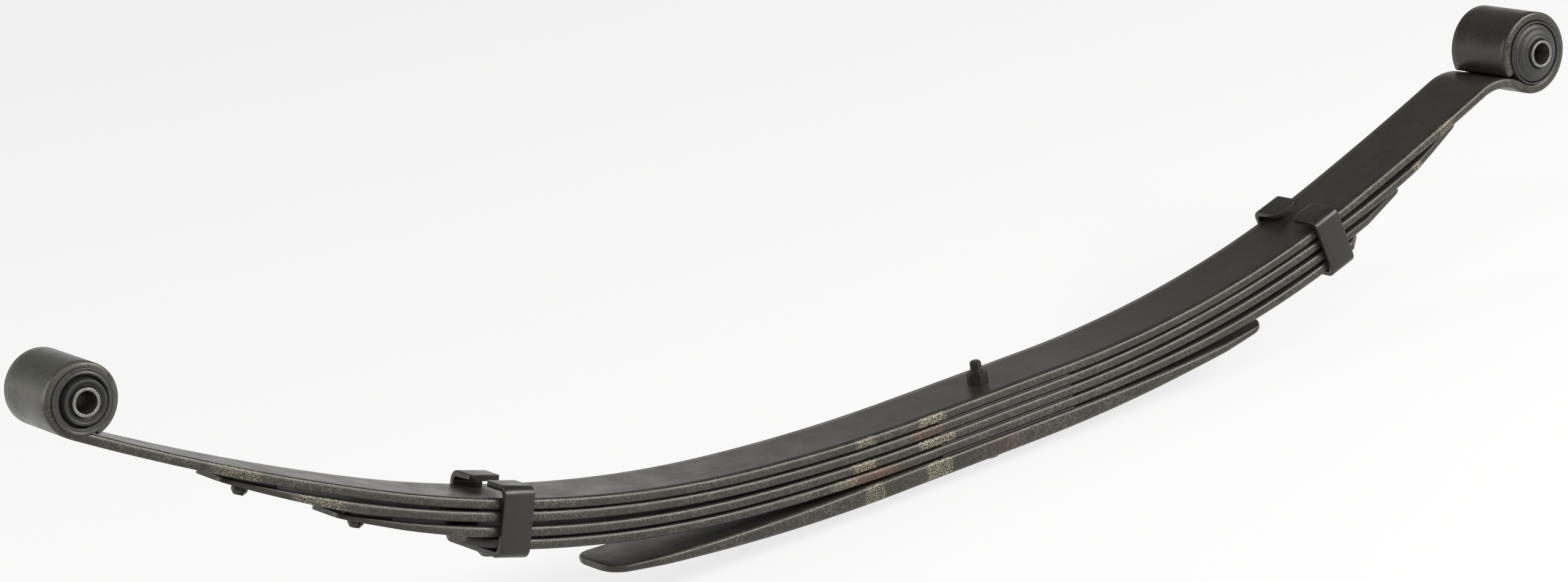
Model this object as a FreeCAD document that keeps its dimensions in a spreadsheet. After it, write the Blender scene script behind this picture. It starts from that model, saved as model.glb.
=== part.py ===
import FreeCAD, Part
import os
import re
from math import asin, atan2, cos, degrees, pi, radians, sin
import Sketcher

# Five-leaf semi-elliptic spring with a flat overload leaf, two rebound clips and rubber-bushed eyes.
# Frame: origin on the axle seat under the centre bolt, +X towards the front eye (the short half),
# -X towards the rear eye (the long half), +Y across the leaves, +Z up. Millimetres and degrees.

Vec = FreeCAD.Vector
doc = FreeCAD.newDocument("LeafSpring")

sizes = {
    # leaf stock
    "leaf_width": 63.5, "leaf_thickness": 7.4, "leaf_edge_radius": 5.5,
    # seat: the flat stretch under the axle clamp, with a thin shim between the leaves
    "seat_half": 64, "shim_thickness": 1.4, "shim_width": 62,
    # rear half of the main leaf: three bends (radius of the top face, length along it)
    "rear_seat_bend_radius": 1660, "rear_seat_bend_length": 170,
    "rear_limb_bend_radius": 970, "rear_limb_bend_length": 306,
    "rear_end_bend_radius": 2000, "rear_end_bend_length": 246,
    # front half of the main leaf
    "front_seat_bend_radius": 1040, "front_seat_bend_length": 120,
    "front_limb_bend_radius": 990, "front_limb_bend_length": 190,
    "front_end_bend_radius": 3200, "front_end_bend_length": 154.3,
    # eyes, rolled from the main leaf's ends; a crest drops the front one
    "eye_lead": 2, "front_crest_radius": 50, "front_crest_drop": 35.4,
    "rear_eye_bore": 38.1, "rear_eye_wrap": 314,
    "front_eye_bore": 52, "front_eye_wrap": 328,
    # how far each shorter leaf reaches from the bolt, and how much flatter it is bent
    "second_rear_reach": 669, "second_front_reach": 506,
    "third_rear_reach": 578, "third_front_reach": 433,
    "fourth_rear_reach": 472, "fourth_front_reach": 384,
    "second_rear_seat_ease": -50, "second_rear_limb_ease": 55, "second_rear_end_ease": -750,
    "third_rear_seat_ease": 140, "third_rear_limb_ease": 0, "third_rear_end_ease": 0,
    "fourth_rear_seat_ease": 185, "fourth_rear_limb_ease": -15, "fourth_rear_end_ease": 0,
    "second_front_seat_ease": -40, "second_front_limb_ease": 195, "second_front_end_ease": -1950,
    "third_front_seat_ease": 60, "third_front_limb_ease": 120, "third_front_end_ease": 5000,
    "fourth_front_seat_ease": 365, "fourth_front_limb_ease": -200, "fourth_front_end_ease": 0,
    # leaf tips: corners trimmed in plan, underside tapered, end corners rounded
    "second_trim_length": 62, "third_trim_length": 50, "fourth_trim_length": 20,
    "tip_width": 44, "tip_thickness": 3.4, "tip_taper_length": 105, "tip_corner_radius": 9,
    "fourth_tip_width": 34, "fourth_tip_thickness": 6.4, "fourth_tip_taper_length": 30,
    # overload leaf: thick at the seat, thinner towards both tips
    "overload_thickness": 15, "overload_rear_reach": 361, "overload_front_reach": 266,
    "overload_rear_sole": 110, "overload_front_sole": 25,
    "overload_rear_top_flat": 150, "overload_front_top_flat": 80,
    "overload_rear_top_radius": 2350, "overload_front_top_radius": 1840,
    "overload_rear_sole_radius": 1650, "overload_front_sole_radius": 1500,
    "overload_edge_radius": 2.4, "overload_trim_length": 45, "overload_tip_width": 54,
    "overload_corner_radius": 14,
    # centre bolt and nut
    "bolt_diameter": 9.5, "bolt_hole_clearance": 0.3, "bolt_stand_out": 17.2,
    "bolt_head_diameter": 17.5, "bolt_head_height": 9.5,
    "nut_across_flats": 14.3, "nut_height": 8.4, "nut_thread_clearance": 0.05,
    # rebound clips
    "clip_strap_width": 25, "clip_strap_thickness": 4.5, "clip_bend_radius": 3,
    "clip_side_clearance": 1, "clip_seat_gap": 1, "clip_tab_reach": 28, "clip_corner_radius": 4,
    "rear_clip_station": 445, "rear_clip_headroom": 7.8,
    "front_clip_station": 345, "front_clip_headroom": 7.8,
    "rivet_diameter": 8, "rivet_head_diameter": 14, "rivet_head_height": 4.5,
    "rivet_sink_depth": 2.6, "rivet_clearance": 0.1,
    # tip pads: a plastic plate between two leaves with a split snap peg through the lower one
    "pad_length": 40, "pad_width": 38, "pad_from_tip": 27, "pad_corner_radius": 6,
    "rear_second_pad_thickness": 1.9, "rear_third_pad_thickness": 2.5,
    "front_second_pad_thickness": 2.7, "front_third_pad_thickness": 2.6,
    "peg_diameter": 7, "peg_clearance": 0.2, "peg_button_diameter": 11.5, "peg_button_height": 6,
    "peg_slot_width": 1.2, "pad_seat_gap": 0.3,
    # rear bushing: a flanged can pressed into the eye, rubber, and an inner sleeve
    "bushing_press_gap": 0.02, "can_wall": 1.6, "bushing_running_gap": 0.05,
    "rear_can_flange_diameter": 45.6, "rear_can_flange_thickness": 1.7, "rear_can_proud": 0.6,
    "rear_sleeve_bore": 15.4, "rear_sleeve_diameter": 20.4, "rear_sleeve_length": 76,
    "rear_ridge_diameter": 32, "rear_ridge_proud": 3.4, "rear_groove_depth": 4,
    # front bushing: a plain can, domed rubber and an inner sleeve
    "front_can_proud": 0.9,
    "front_sleeve_bore": 17.4, "front_sleeve_diameter": 22.4, "front_sleeve_length": 80.6,
    "front_dome_proud": 5, "front_dome_diameter": 30,
}

sheet = doc.addObject("Spreadsheet::Sheet", "Sizes")
for row, (alias, number) in enumerate(sizes.items(), start=1):
    sheet.set("A%d" % row, alias)
    sheet.set("B%d" % row, str(number))
    sheet.setAlias("B%d" % row, alias)
doc.recompute()


def size(expression):
    """The number that an expression of sheet aliases gives (angles in degrees)."""
    found = sheet.evalExpression(expression)
    return float(getattr(found, "Value", found))


def bind(item, path, expression):
    """Ties a property or constraint to sheet aliases; every alias has an underscore."""
    item.setExpression(path, re.sub(r"([a-z]+(?:_[a-z]+)+)", r"Sizes.\1", expression))


def new_body(name):
    body = doc.addObject("PartDesign::Body", name)
    body.Label = name
    return body


def new_sketch(body, name, role, frame=None):
    """A sketch on one of the body's origin planes, moved to a local frame where one is given."""
    sketch = body.newObject("Sketcher::SketchObject", body.Name + "_" + name)
    plane = next(item for item in body.Origin.OriginFeatures if item.Role == role)
    sketch.AttachmentSupport = [(plane, "")]
    sketch.MapMode = "FlatFace"
    if frame is not None:
        sketch.AttachmentOffset = frame
    return sketch


def held(sketch, kind, *parts):
    """Adds a constraint whose last part is an expression and binds it."""
    expression = parts[-1]
    number = size(expression)
    if kind == "Angle":
        number = radians(number)
    index = sketch.addConstraint(Sketcher.Constraint(kind, *parts[:-1], number))
    bind(sketch, "Constraints[%d]" % index, expression)


def outline(sketch, corners):
    """A closed outline of straight sides through corners given as pairs of expressions."""
    points = [Vec(size(across), size(along), 0) for across, along in corners]
    first = sketch.GeometryCount
    count = len(points)
    for index in range(count):
        sketch.addGeometry(Part.LineSegment(points[index], points[(index + 1) % count]))
    for index, (across, along) in enumerate(corners):
        last = first + (index - 1) % count
        sketch.addConstraint(Sketcher.Constraint("Coincident", last, 2, first + index, 1))
        held(sketch, "DistanceX", first + index, 1, across)
        held(sketch, "DistanceY", first + index, 1, along)


def circle(sketch, radius):
    """A circle on the sketch's own origin."""
    index = sketch.addGeometry(Part.Circle(Vec(0, 0, 0), Vec(0, 0, 1), size(radius)))
    sketch.addConstraint(Sketcher.Constraint("Coincident", index, 3, -1, 1))
    held(sketch, "Radius", index, radius)


def pad(body, name, sketch, length):
    """A pad of the given length, half to each side of its sketch."""
    feature = body.newObject("PartDesign::Pad", body.Name + "_" + name)
    feature.Profile = sketch
    feature.Midplane = True
    bind(feature, "Length", length)
    doc.recompute()
    return feature


def lift(body, name, sketch, length):
    """A pad that rises from its sketch along the sketch's normal."""
    feature = body.newObject("PartDesign::Pad", body.Name + "_" + name)
    feature.Profile = sketch
    bind(feature, "Length", length)
    doc.recompute()
    return feature


def cut_through(body, name, sketch):
    """A pocket through everything on both sides of its sketch; it has to remove something."""
    before = body.Shape.Volume
    feature = body.newObject("PartDesign::Pocket", body.Name + "_" + name)
    feature.Profile = sketch
    feature.Type = "ThroughAll"
    feature.Midplane = True
    doc.recompute()
    if not body.Shape.Volume < before:
        raise RuntimeError(feature.Name + " removes nothing")
    return feature


def turned(body, name, sketch, kind="PartDesign::Revolution"):
    """A full turn of the sketch about its own vertical axis, added or cut."""
    before = body.Shape.Volume if kind == "PartDesign::Groove" else None
    feature = body.newObject(kind, body.Name + "_" + name)
    feature.Profile = sketch
    feature.ReferenceAxis = (sketch, ["V_Axis"])
    feature.Angle = 360
    doc.recompute()
    if before is not None and not body.Shape.Volume < before:
        raise RuntimeError(feature.Name + " removes nothing")
    return feature


def rounded(body, name, radius, wanted):
    """Fillets every edge for which wanted(edge) is true."""
    edges = body.Shape.Edges
    picked = ["Edge%d" % (index + 1) for index, edge in enumerate(edges) if wanted(edge)]
    base = body.Tip
    feature = body.newObject("PartDesign::Fillet", body.Name + "_" + name)
    feature.Base = (base, picked)
    bind(feature, "Radius", radius)
    doc.recompute()
    if "Invalid" in feature.State:
        raise RuntimeError(feature.Name + " fails")
    return feature


def runs_along(edge, axis):
    """True for a straight edge parallel to the axis."""
    if edge.Curve.TypeId != "Part::GeomLine":
        return False
    return abs(abs(edge.tangentAt(edge.FirstParameter).dot(axis)) - 1) < 1e-6


class Limb:
    """Half a leaf's centre line: tangent lines and arcs that leave the bolt along the seat.

    side is -1 for the rear half and +1 for the front half. Each piece is kept as numbers too, so
    that clips, pads and bushings can be placed on it at a distance from the bolt.
    """

    def __init__(self, sketch, side, height):
        self.sketch, self.side = sketch, side
        self.point = Vec(0, size(height), 0)
        self.heading = 0.0
        self.height = height
        self.pieces = []
        self.last = None

    def ahead(self, distance):
        return Vec(self.side * cos(self.heading) * distance, sin(self.heading) * distance, 0)

    def line(self, length):
        end = self.point + self.ahead(size(length))
        index = self.sketch.addGeometry(Part.LineSegment(self.point, end))
        held(self.sketch, "DistanceY", index, 1, self.height)
        constrain = self.sketch.addConstraint
        constrain(Sketcher.Constraint("PointOnObject", index, 1, -2))
        constrain(Sketcher.Constraint("Horizontal", index))
        held(self.sketch, "Distance", index, length)
        self.pieces.append((self.point, self.heading, None, size(length), 1))
        self.point, self.last = end, (index, 2)

    def arc(self, radius, angle, up=1):
        """A tangent arc of the centre line; up is +1 where it curls up and -1 where it dips."""
        span, reach = radians(size(angle)), size(radius)
        turn = self.side * up
        inward = Vec(-self.side * sin(self.heading), cos(self.heading), 0) * up
        middle = self.point + inward * reach
        start = atan2(self.point.y - middle.y, self.point.x - middle.x)
        low, high = (start, start + span) if turn > 0 else (start - span, start)
        near, far = (1, 2) if turn > 0 else (2, 1)
        ring = Part.Circle(middle, Vec(0, 0, 1), reach)
        index = self.sketch.addGeometry(Part.ArcOfCircle(ring, low, high))
        joint = Sketcher.Constraint("Tangent", self.last[0], self.last[1], index, near)
        self.sketch.addConstraint(joint)
        held(self.sketch, "Radius", index, radius)
        held(self.sketch, "Angle", index, angle)
        top_radius = reach - up * size("leaf_thickness") / 2
        self.pieces.append((self.point, self.heading, reach, top_radius * span, up))
        self.heading += up * span
        self.point = middle - Vec(-self.side * sin(self.heading), cos(self.heading), 0) * up * reach
        self.last = (index, far)
        self.centre = middle

    def at(self, station):
        """Centre-line point and slope, station mm along the leaf's top face from the bolt."""
        for point, heading, radius, length, up in self.pieces:
            if station <= length or (point, heading) == self.pieces[-1][:2]:
                break
            station -= length
        if radius is None:
            return point + Vec(self.side * cos(heading), sin(heading), 0) * station, heading
        slope = heading + up * station / (radius - up * size("leaf_thickness") / 2)
        across = Vec(self.side * (sin(slope) - sin(heading)), cos(heading) - cos(slope), 0)
        return point + across * up * radius, slope

    def frame(self, station, above=0.0):
        """Local frame on the limb: X along the leaf away from the bolt, Z out of its top face."""
        point, slope = self.at(station)
        out = Vec(self.side * cos(slope), 0, sin(slope))
        top = Vec(-self.side * sin(slope), 0, cos(slope))
        turn = FreeCAD.Rotation(out, Vec(0, self.side, 0), top, "ZXY")
        return FreeCAD.Placement(Vec(point.x, 0, point.y) + top * above, turn)


leaf_names = ["main", "second", "third", "fourth"]
pitch = "(leaf_thickness + shim_thickness)"
limbs = {}


def leaf_height(order):
    """Height of a leaf's mid-plane at the seat; order 0 is the main leaf, on top."""
    return "overload_thickness + %d * %s - leaf_thickness / 2" % (len(leaf_names) - order, pitch)


def leaf_section(body, height):
    """The bar's cross-section, its middle at the given height: flat faces, convex rolled edges."""
    sketch = new_sketch(body, "section", "YZ_Plane")
    radius, half = size("leaf_edge_radius"), size("leaf_thickness") / 2
    middle = size(height)
    drop = asin(half / radius)
    inset = "(leaf_width / 2 - leaf_edge_radius)"
    centre = Vec(size(inset), middle, 0)
    corner = radius * cos(drop)
    for side in (1, -1):
        ring = Part.Circle(Vec(side * centre.x, middle, 0), Vec(0, 0, 1), radius)
        start = -drop if side > 0 else pi - drop
        index = sketch.addGeometry(Part.ArcOfCircle(ring, start, start + 2 * drop))
        held(sketch, "Radius", index, "leaf_edge_radius")
        held(sketch, "DistanceX", index, 3, "%d * %s" % (side, inset))
        held(sketch, "DistanceY", index, 3, height)
    for up in (1, -1):
        left = Vec(-centre.x - corner, middle + up * half, 0)
        right = Vec(centre.x + corner, middle + up * half, 0)
        index = sketch.addGeometry(Part.LineSegment(right, left))
        ends = (2, 1) if up > 0 else (1, 2)
        sketch.addConstraint(Sketcher.Constraint("Coincident", index, 1, 0, ends[0]))
        sketch.addConstraint(Sketcher.Constraint("Coincident", index, 2, 1, ends[1]))
        held(sketch, "DistanceY", index, 1, "%s + %d * leaf_thickness / 2" % (height, up))
        sketch.addConstraint(Sketcher.Constraint("Horizontal", index))
    return sketch


def limb_bends(half, order):
    """Top-face radius and length of a leaf's three bends. Below the main leaf each bend is
    concentric with the main leaf's, plus that leaf's own easing."""
    name = leaf_names[order]
    bends = []
    for bend in ("seat", "limb", "end"):
        radius = "%s_%s_bend_radius" % (half, bend)
        if order:
            radius += " + %d * %s + %s_%s_%s_ease" % (order, pitch, name, half, bend)
        bends.append((radius, "%s_%s_bend_length" % (half, bend)))
    return bends


def draw_limb(body, half, order):
    """Sketches one half of a leaf's centre line and sweeps the bar section along it."""
    side = -1 if half == "rear" else 1
    sketch = new_sketch(body, half + "_line", "XZ_Plane")
    limb = Limb(sketch, side, leaf_height(order))
    limb.line("seat_half")
    left = None if order == 0 else "%s_%s_reach - seat_half" % (leaf_names[order], half)
    for radius, length in limb_bends(half, order):
        last = left is not None and (size(left) <= size(length) or "_end_" in radius)
        stretch = left if last else length
        limb.arc(radius + " + leaf_thickness / 2", "(%s) / (%s) * 1rad" % (stretch, radius))
        if last:
            break
        left = left and left + " - " + length
    limbs[order, half] = limb
    return sketch


def limb_slope(half):
    """Angle by which the main leaf has turned up where its last bend ends."""
    return " + ".join("%s / (%s) * 180 / pi" % (length, radius) for radius, length in limb_bends(half, 0))


def swept(body, name, section, line):
    """Sweeps the bar's section along a centre line."""
    sweep = body.newObject("PartDesign::AdditivePipe", body.Name + "_" + name)
    sweep.Profile = (section, [""])
    sweep.Spine = (line, [""])
    doc.recompute()


def make_leaf(order):
    body = new_body(leaf_names[order] + "_leaf")
    section = leaf_section(body, leaf_height(order))
    for half in ("rear", "front"):
        swept(body, half, section, draw_limb(body, half, order))
    bolt_hole(body)
    return body


def make_eye(half):
    """The rolled end of the main leaf, drawn level and then set on the end of its limb."""
    body = new_body(half + "_eye")
    section = leaf_section(body, "0")
    line = new_sketch(body, "roll_line", "XZ_Plane")
    roll = Limb(line, -1 if half == "rear" else 1, "0")
    roll.line("eye_lead")
    if half == "front":
        crest_turn = "front_crest_drop + (%s)" % limb_slope(half)
        roll.arc("front_crest_radius - leaf_thickness / 2", crest_turn, -1)
    roll.arc(half + "_eye_bore / 2 + leaf_thickness / 2", half + "_eye_wrap")
    swept(body, "roll", section, line)
    limb = limbs[0, half]
    turn = FreeCAD.Rotation(Vec(0, 1, 0), -limb.side * degrees(limb.heading))
    body.Placement = FreeCAD.Placement(Vec(limb.point.x, 0, limb.point.y), turn)
    return body.Placement.multVec(Vec(roll.centre.x, 0, roll.centre.y))


def bolt_hole(body):
    hole = new_sketch(body, "bolt_hole", "XY_Plane")
    circle(hole, "bolt_diameter / 2 + bolt_hole_clearance")
    cut_through(body, "bolt_cut", hole)


def trim_corners(body, half, frame, length, width, radius):
    """Cuts both corners of a tip in plan: a straight flank, then a round to the end face."""
    sketch = new_sketch(body, half + "_trim", "XY_Plane", frame)
    slope = "atan((leaf_width - (%s)) / 2 / (%s))" % (width, length)
    past, far = "clip_strap_thickness", "(leaf_width / 2 + clip_strap_thickness)"
    run, lean, round_off = size(length), radians(size(slope)), size(radius)
    centre_y = size(width) / 2 - round_off * (1 - sin(lean)) / cos(lean)
    for side in (1, -1):
        sign = "" if side > 0 else "-"
        touch = Vec(-round_off + round_off * sin(lean), side * (centre_y + round_off * cos(lean)), 0)
        corners = [Vec(-run, side * size("leaf_width") / 2, 0), touch, Vec(0, side * centre_y, 0),
                   Vec(size(past), side * centre_y, 0), Vec(size(past), side * size(far), 0),
                   Vec(-run, side * size(far), 0)]
        flank = sketch.addGeometry(Part.LineSegment(corners[0], corners[1]))
        ring = Part.Circle(Vec(-round_off, side * centre_y, 0), Vec(0, 0, 1), round_off)
        low, high = (0, pi / 2 - lean) if side > 0 else (lean - pi / 2, 0)
        arc = sketch.addGeometry(Part.ArcOfCircle(ring, low, high))
        at_flank, at_end = (2, 1) if side > 0 else (1, 2)
        held(sketch, "DistanceX", flank, 1, "-(%s)" % length)
        held(sketch, "DistanceY", flank, 1, sign + "leaf_width / 2")
        held(sketch, "Angle", flank, "%s(%s)" % ("-" if side > 0 else "", slope))
        sketch.addConstraint(Sketcher.Constraint("Tangent", flank, 2, arc, at_flank))
        held(sketch, "Radius", arc, radius)
        held(sketch, "DistanceX", arc, at_end, "0")
        sketch.addConstraint(Sketcher.Constraint("Horizontal", arc, at_end, arc, 3))
        sides = [sketch.addGeometry(Part.LineSegment(corners[index], corners[(index + 1) % 6]))
                 for index in (2, 3, 4, 5)]
        sketch.addConstraint(Sketcher.Constraint("Coincident", sides[0], 1, arc, at_end))
        sketch.addConstraint(Sketcher.Constraint("Horizontal", sides[0]))
        for before, after in zip(sides, sides[1:]):
            sketch.addConstraint(Sketcher.Constraint("Coincident", before, 2, after, 1))
        sketch.addConstraint(Sketcher.Constraint("Coincident", sides[3], 2, flank, 1))
        held(sketch, "DistanceX", sides[0], 2, past)
        held(sketch, "DistanceY", sides[1], 2, sign + far)
        sketch.addConstraint(Sketcher.Constraint("Vertical", sides[1]))
        sketch.addConstraint(Sketcher.Constraint("Horizontal", sides[2]))
        sketch.addConstraint(Sketcher.Constraint("Vertical", sides[3]))
    cut_through(body, half + "_corners", sketch)


def taper_tip(body, half, limb, reach, length, thickness):
    """Planes the underside of a tip along a straight line to the tip's own thickness."""
    drop = -size("leaf_thickness") / 2
    start = limb.frame(size("%s - (%s)" % (reach, length)), drop).Base
    end = limb.frame(size(reach), drop).Base
    chord = end - start
    turn = FreeCAD.Rotation(Vec(0, 0, 1), degrees(atan2(chord.z, abs(chord.x))) * limb.side)
    frame = FreeCAD.Placement(Vec(start.x, start.z, 0), turn)
    sketch = new_sketch(body, half + "_taper", "XZ_Plane", frame)
    out = "-" if limb.side < 0 else ""
    past = "(%s + clip_strap_thickness)" % length
    outline(sketch, [
        ("0", "0"),
        (out + past, "(leaf_thickness - (%s)) * %s / (%s)" % (thickness, past, length)),
        (out + past, "-leaf_width / 4"),
        ("0", "-leaf_width / 4"),
    ])
    cut_through(body, half + "_underside", sketch)


def finish_tips(body, order):
    name = leaf_names[order]
    lowest = order == len(leaf_names) - 1
    prefix = "fourth_" if lowest else ""
    for half in ("rear", "front"):
        limb = limbs[order, half]
        reach = "%s_%s_reach" % (name, half)
        taper_tip(body, half, limb, reach, prefix + "tip_taper_length", prefix + "tip_thickness")
        trim_corners(body, half, limb.frame(size(reach)), name + "_trim_length",
                     prefix + "tip_width", "tip_corner_radius")


def rivet_outline(sketch, gap):
    """Half-section of a clip rivet, or of its hole where gap is not zero.

    Zero height is the underside of the fourth leaf; the sunk head ends at that leaf's top face.
    """
    under = "(clip_seat_gap + clip_strap_thickness)"
    shank, head = "rivet_diameter / 2 + " + gap, "rivet_head_diameter / 2 + " + gap
    if gap == "0":
        corners = [("0", "-(%s + rivet_head_height)" % under),
                   ("rivet_head_diameter / 4", "-(%s + rivet_head_height)" % under),
                   (head, "-(%s + rivet_head_height / 3)" % under),
                   (head, "-" + under),
                   (shank, "-" + under),
                   (shank, "leaf_thickness - rivet_sink_depth"),
                   (head, "leaf_thickness - rivet_clearance"),
                   ("0", "leaf_thickness - rivet_clearance")]
    else:
        corners = [("0", "-" + under),
                   (shank, "-" + under),
                   (shank, "leaf_thickness - rivet_sink_depth - " + gap),
                   (head, "leaf_thickness - rivet_clearance - " + gap),
                   (head, "leaf_thickness + " + gap),
                   ("0", "leaf_thickness + " + gap)]
    outline(sketch, corners)


main_leaf = make_leaf(0)
eye_centres = {half: make_eye(half) for half in ("rear", "front")}
shorter_leaves = [make_leaf(order) for order in (1, 2, 3)]
for order, body in enumerate(shorter_leaves, start=1):
    finish_tips(body, order)

# --- rebound clips, each a strap bent round the four upper leaves and riveted to the fourth
for half in ("rear", "front"):
    limb = limbs[3, half]
    seat = limb.frame(size(half + "_clip_station"), -size("leaf_thickness") / 2)

    flat = FreeCAD.Rotation(Vec(0, 0, 1), degrees(limb.at(size(half + "_clip_station"))[1]) * limb.side)
    hole = new_sketch(shorter_leaves[2], half + "_rivet_hole", "XZ_Plane",
                      FreeCAD.Placement(Vec(seat.Base.x, seat.Base.z, 0), flat))
    rivet_outline(hole, "rivet_clearance")
    turned(shorter_leaves[2], half + "_rivet_cut", hole, "PartDesign::Groove")

    rivet = new_body(half + "_clip_rivet")
    sketch = new_sketch(rivet, "half_section", "XZ_Plane")
    rivet_outline(sketch, "0")
    turned(rivet, "turned", sketch)
    rivet.Placement = seat

    clip = new_body(half + "_clip")
    sketch = new_sketch(clip, "strap", "YZ_Plane")
    room = "(4 * leaf_thickness + 3 * shim_thickness + %s_clip_headroom)" % half
    inner = "(leaf_width / 2 + clip_side_clearance)"
    outer = "(leaf_width / 2 + clip_side_clearance + clip_strap_thickness)"
    base, sole = "-clip_seat_gap", "-(clip_seat_gap + clip_strap_thickness)"
    lid = room + " + clip_strap_thickness"
    outline(sketch, [
        (outer + " - clip_tab_reach", lid), (outer, lid), (outer, sole), ("-" + outer, sole),
        ("-" + outer, lid), ("clip_tab_reach - " + outer, lid), ("clip_tab_reach - " + outer, room),
        ("-" + inner, room), ("-" + inner, base), (inner, base), (inner, room),
        (outer + " - clip_tab_reach", room)])
    pad(clip, "bent_strap", sketch, "clip_strap_width")
    along = Vec(1, 0, 0)

    def at_side(edge, distance):
        return runs_along(edge, along) and abs(abs(edge.CenterOfMass.y) - distance) < 1e-4

    rounded(clip, "outer_bends", "clip_bend_radius + clip_strap_thickness",
            lambda edge: at_side(edge, size(outer)))
    rounded(clip, "inner_bends", "clip_bend_radius", lambda edge: at_side(edge, size(inner)))
    rounded(clip, "tab_corners", "clip_corner_radius",
            lambda edge: runs_along(edge, Vec(0, 0, 1)) and edge.Length < 2 * size("clip_strap_thickness"))
    hole = new_sketch(clip, "rivet_hole", "XY_Plane")
    circle(hole, "rivet_diameter / 2 + rivet_clearance")
    cut_through(clip, "rivet_cut", hole)
    clip.Placement = seat

# --- tip pads, each snapped into the tip of the second or third leaf
for order in (1, 2):
    for half in ("rear", "front"):
        name = leaf_names[order]
        leaf, limb = shorter_leaves[order - 1], limbs[order, half]
        station = size("%s_%s_reach - pad_from_tip" % (name, half))
        hole = new_sketch(leaf, half + "_peg_hole", "XY_Plane", limb.frame(station))
        circle(hole, "peg_diameter / 2 + peg_clearance")
        cut_through(leaf, half + "_peg_cut", hole)

        pad_body = new_body("%s_%s_tip_pad" % (half, name))
        sketch = new_sketch(pad_body, "plate", "XY_Plane")
        outline(sketch, [("pad_length / 2", "pad_width / 2"), ("-pad_length / 2", "pad_width / 2"),
                         ("-pad_length / 2", "-pad_width / 2"), ("pad_length / 2", "-pad_width / 2")])
        lift(pad_body, "plate_pad", sketch, "%s_%s_pad_thickness" % (half, name))
        rounded(pad_body, "plate_corners", "pad_corner_radius", lambda edge: runs_along(edge, Vec(0, 0, 1)))
        under = "(leaf_thickness - (leaf_thickness - tip_thickness) " \
                "* (tip_taper_length - pad_from_tip) / tip_taper_length + 2 * pad_seat_gap)"
        sketch = new_sketch(pad_body, "peg_half", "XZ_Plane")
        outline(sketch, [
            ("0", "pad_seat_gap"), ("peg_diameter / 2", "pad_seat_gap"), ("peg_diameter / 2", "-" + under),
            ("peg_button_diameter / 2", "-(%s + peg_button_height / 6)" % under),
            ("peg_button_diameter / 2", "-(%s + peg_button_height / 2)" % under),
            ("peg_diameter / 2", "-(%s + peg_button_height)" % under),
            ("0", "-(%s + peg_button_height)" % under)])
        turned(pad_body, "peg", sketch)
        sketch = new_sketch(pad_body, "slot", "XZ_Plane")
        outline(sketch, [("peg_slot_width / 2", "-" + under), ("-peg_slot_width / 2", "-" + under),
                         ("-peg_slot_width / 2", "-(%s + 2 * peg_button_height)" % under),
                         ("peg_slot_width / 2", "-(%s + 2 * peg_button_height)" % under)])
        cut_through(pad_body, "split", sketch)
        pad_body.Placement = limb.frame(station, size("leaf_thickness / 2 + pad_seat_gap"))

# --- overload leaf
overload = new_body("overload_leaf")
side_view = new_sketch(overload, "side_view", "XZ_Plane")
edges = {}
for level, flat_size, height in (("sole", "overload_%s_sole", "0"),
                                 ("top", "overload_%s_top_flat", "overload_thickness")):
    rear, front = flat_size % "rear", flat_size % "front"
    line = side_view.addGeometry(Part.LineSegment(Vec(-size(rear), size(height), 0),
                                                  Vec(size(front), size(height), 0)))
    for end, place in ((1, "-" + rear), (2, front)):
        held(side_view, "DistanceX", line, end, place)
        held(side_view, "DistanceY", line, end, height)
    for half, side, near, far in (("rear", -1, 2, 1), ("front", 1, 1, 2)):
        radius = "overload_%s_%s_radius" % (half, level)
        start = Vec(side * size(flat_size % half), size(height), 0)
        reach = "overload_%s_reach" % half
        span = asin((size(reach) - abs(start.x)) / size(radius))
        ring = Part.Circle(start + Vec(0, size(radius), 0), Vec(0, 0, 1), size(radius))
        low, high = (-pi / 2, span - pi / 2) if side > 0 else (-pi / 2 - span, -pi / 2)
        arc = side_view.addGeometry(Part.ArcOfCircle(ring, low, high))
        side_view.addConstraint(Sketcher.Constraint("Tangent", line, 1 if side < 0 else 2, arc, near))
        held(side_view, "Radius", arc, radius)
        held(side_view, "DistanceX", arc, far, ("-" if side < 0 else "") + reach)
        tip = side_view.getPoint(arc, far)
        edges[level, half] = (arc, far, tip)
for half in ("rear", "front"):
    (low_arc, low_end, low_tip), (top_arc, top_end, top_tip) = edges["sole", half], edges["top", half]
    line = side_view.addGeometry(Part.LineSegment(low_tip, top_tip))
    side_view.addConstraint(Sketcher.Constraint("Coincident", line, 1, low_arc, low_end))
    side_view.addConstraint(Sketcher.Constraint("Coincident", line, 2, top_arc, top_end))
pad(overload, "bar", side_view, "leaf_width")


def long_edge(edge):
    flank = all(abs(abs(vertex.Y) - size("leaf_width") / 2) < 1e-4 for vertex in edge.Vertexes)
    return flank and not runs_along(edge, Vec(0, 0, 1)) and not runs_along(edge, Vec(0, 1, 0))


rounded(overload, "long_edges", "overload_edge_radius", long_edge)
for half, side in (("rear", -1), ("front", 1)):
    middle = (edges["sole", half][2] + edges["top", half][2]) * 0.5
    turn = FreeCAD.Rotation(Vec(side, 0, 0), Vec(0, side, 0), Vec(0, 0, 1), "ZXY")
    trim_corners(overload, half, FreeCAD.Placement(Vec(middle.x, 0, middle.y), turn),
                 "overload_trim_length", "overload_tip_width", "overload_corner_radius")
bolt_hole(overload)

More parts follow.
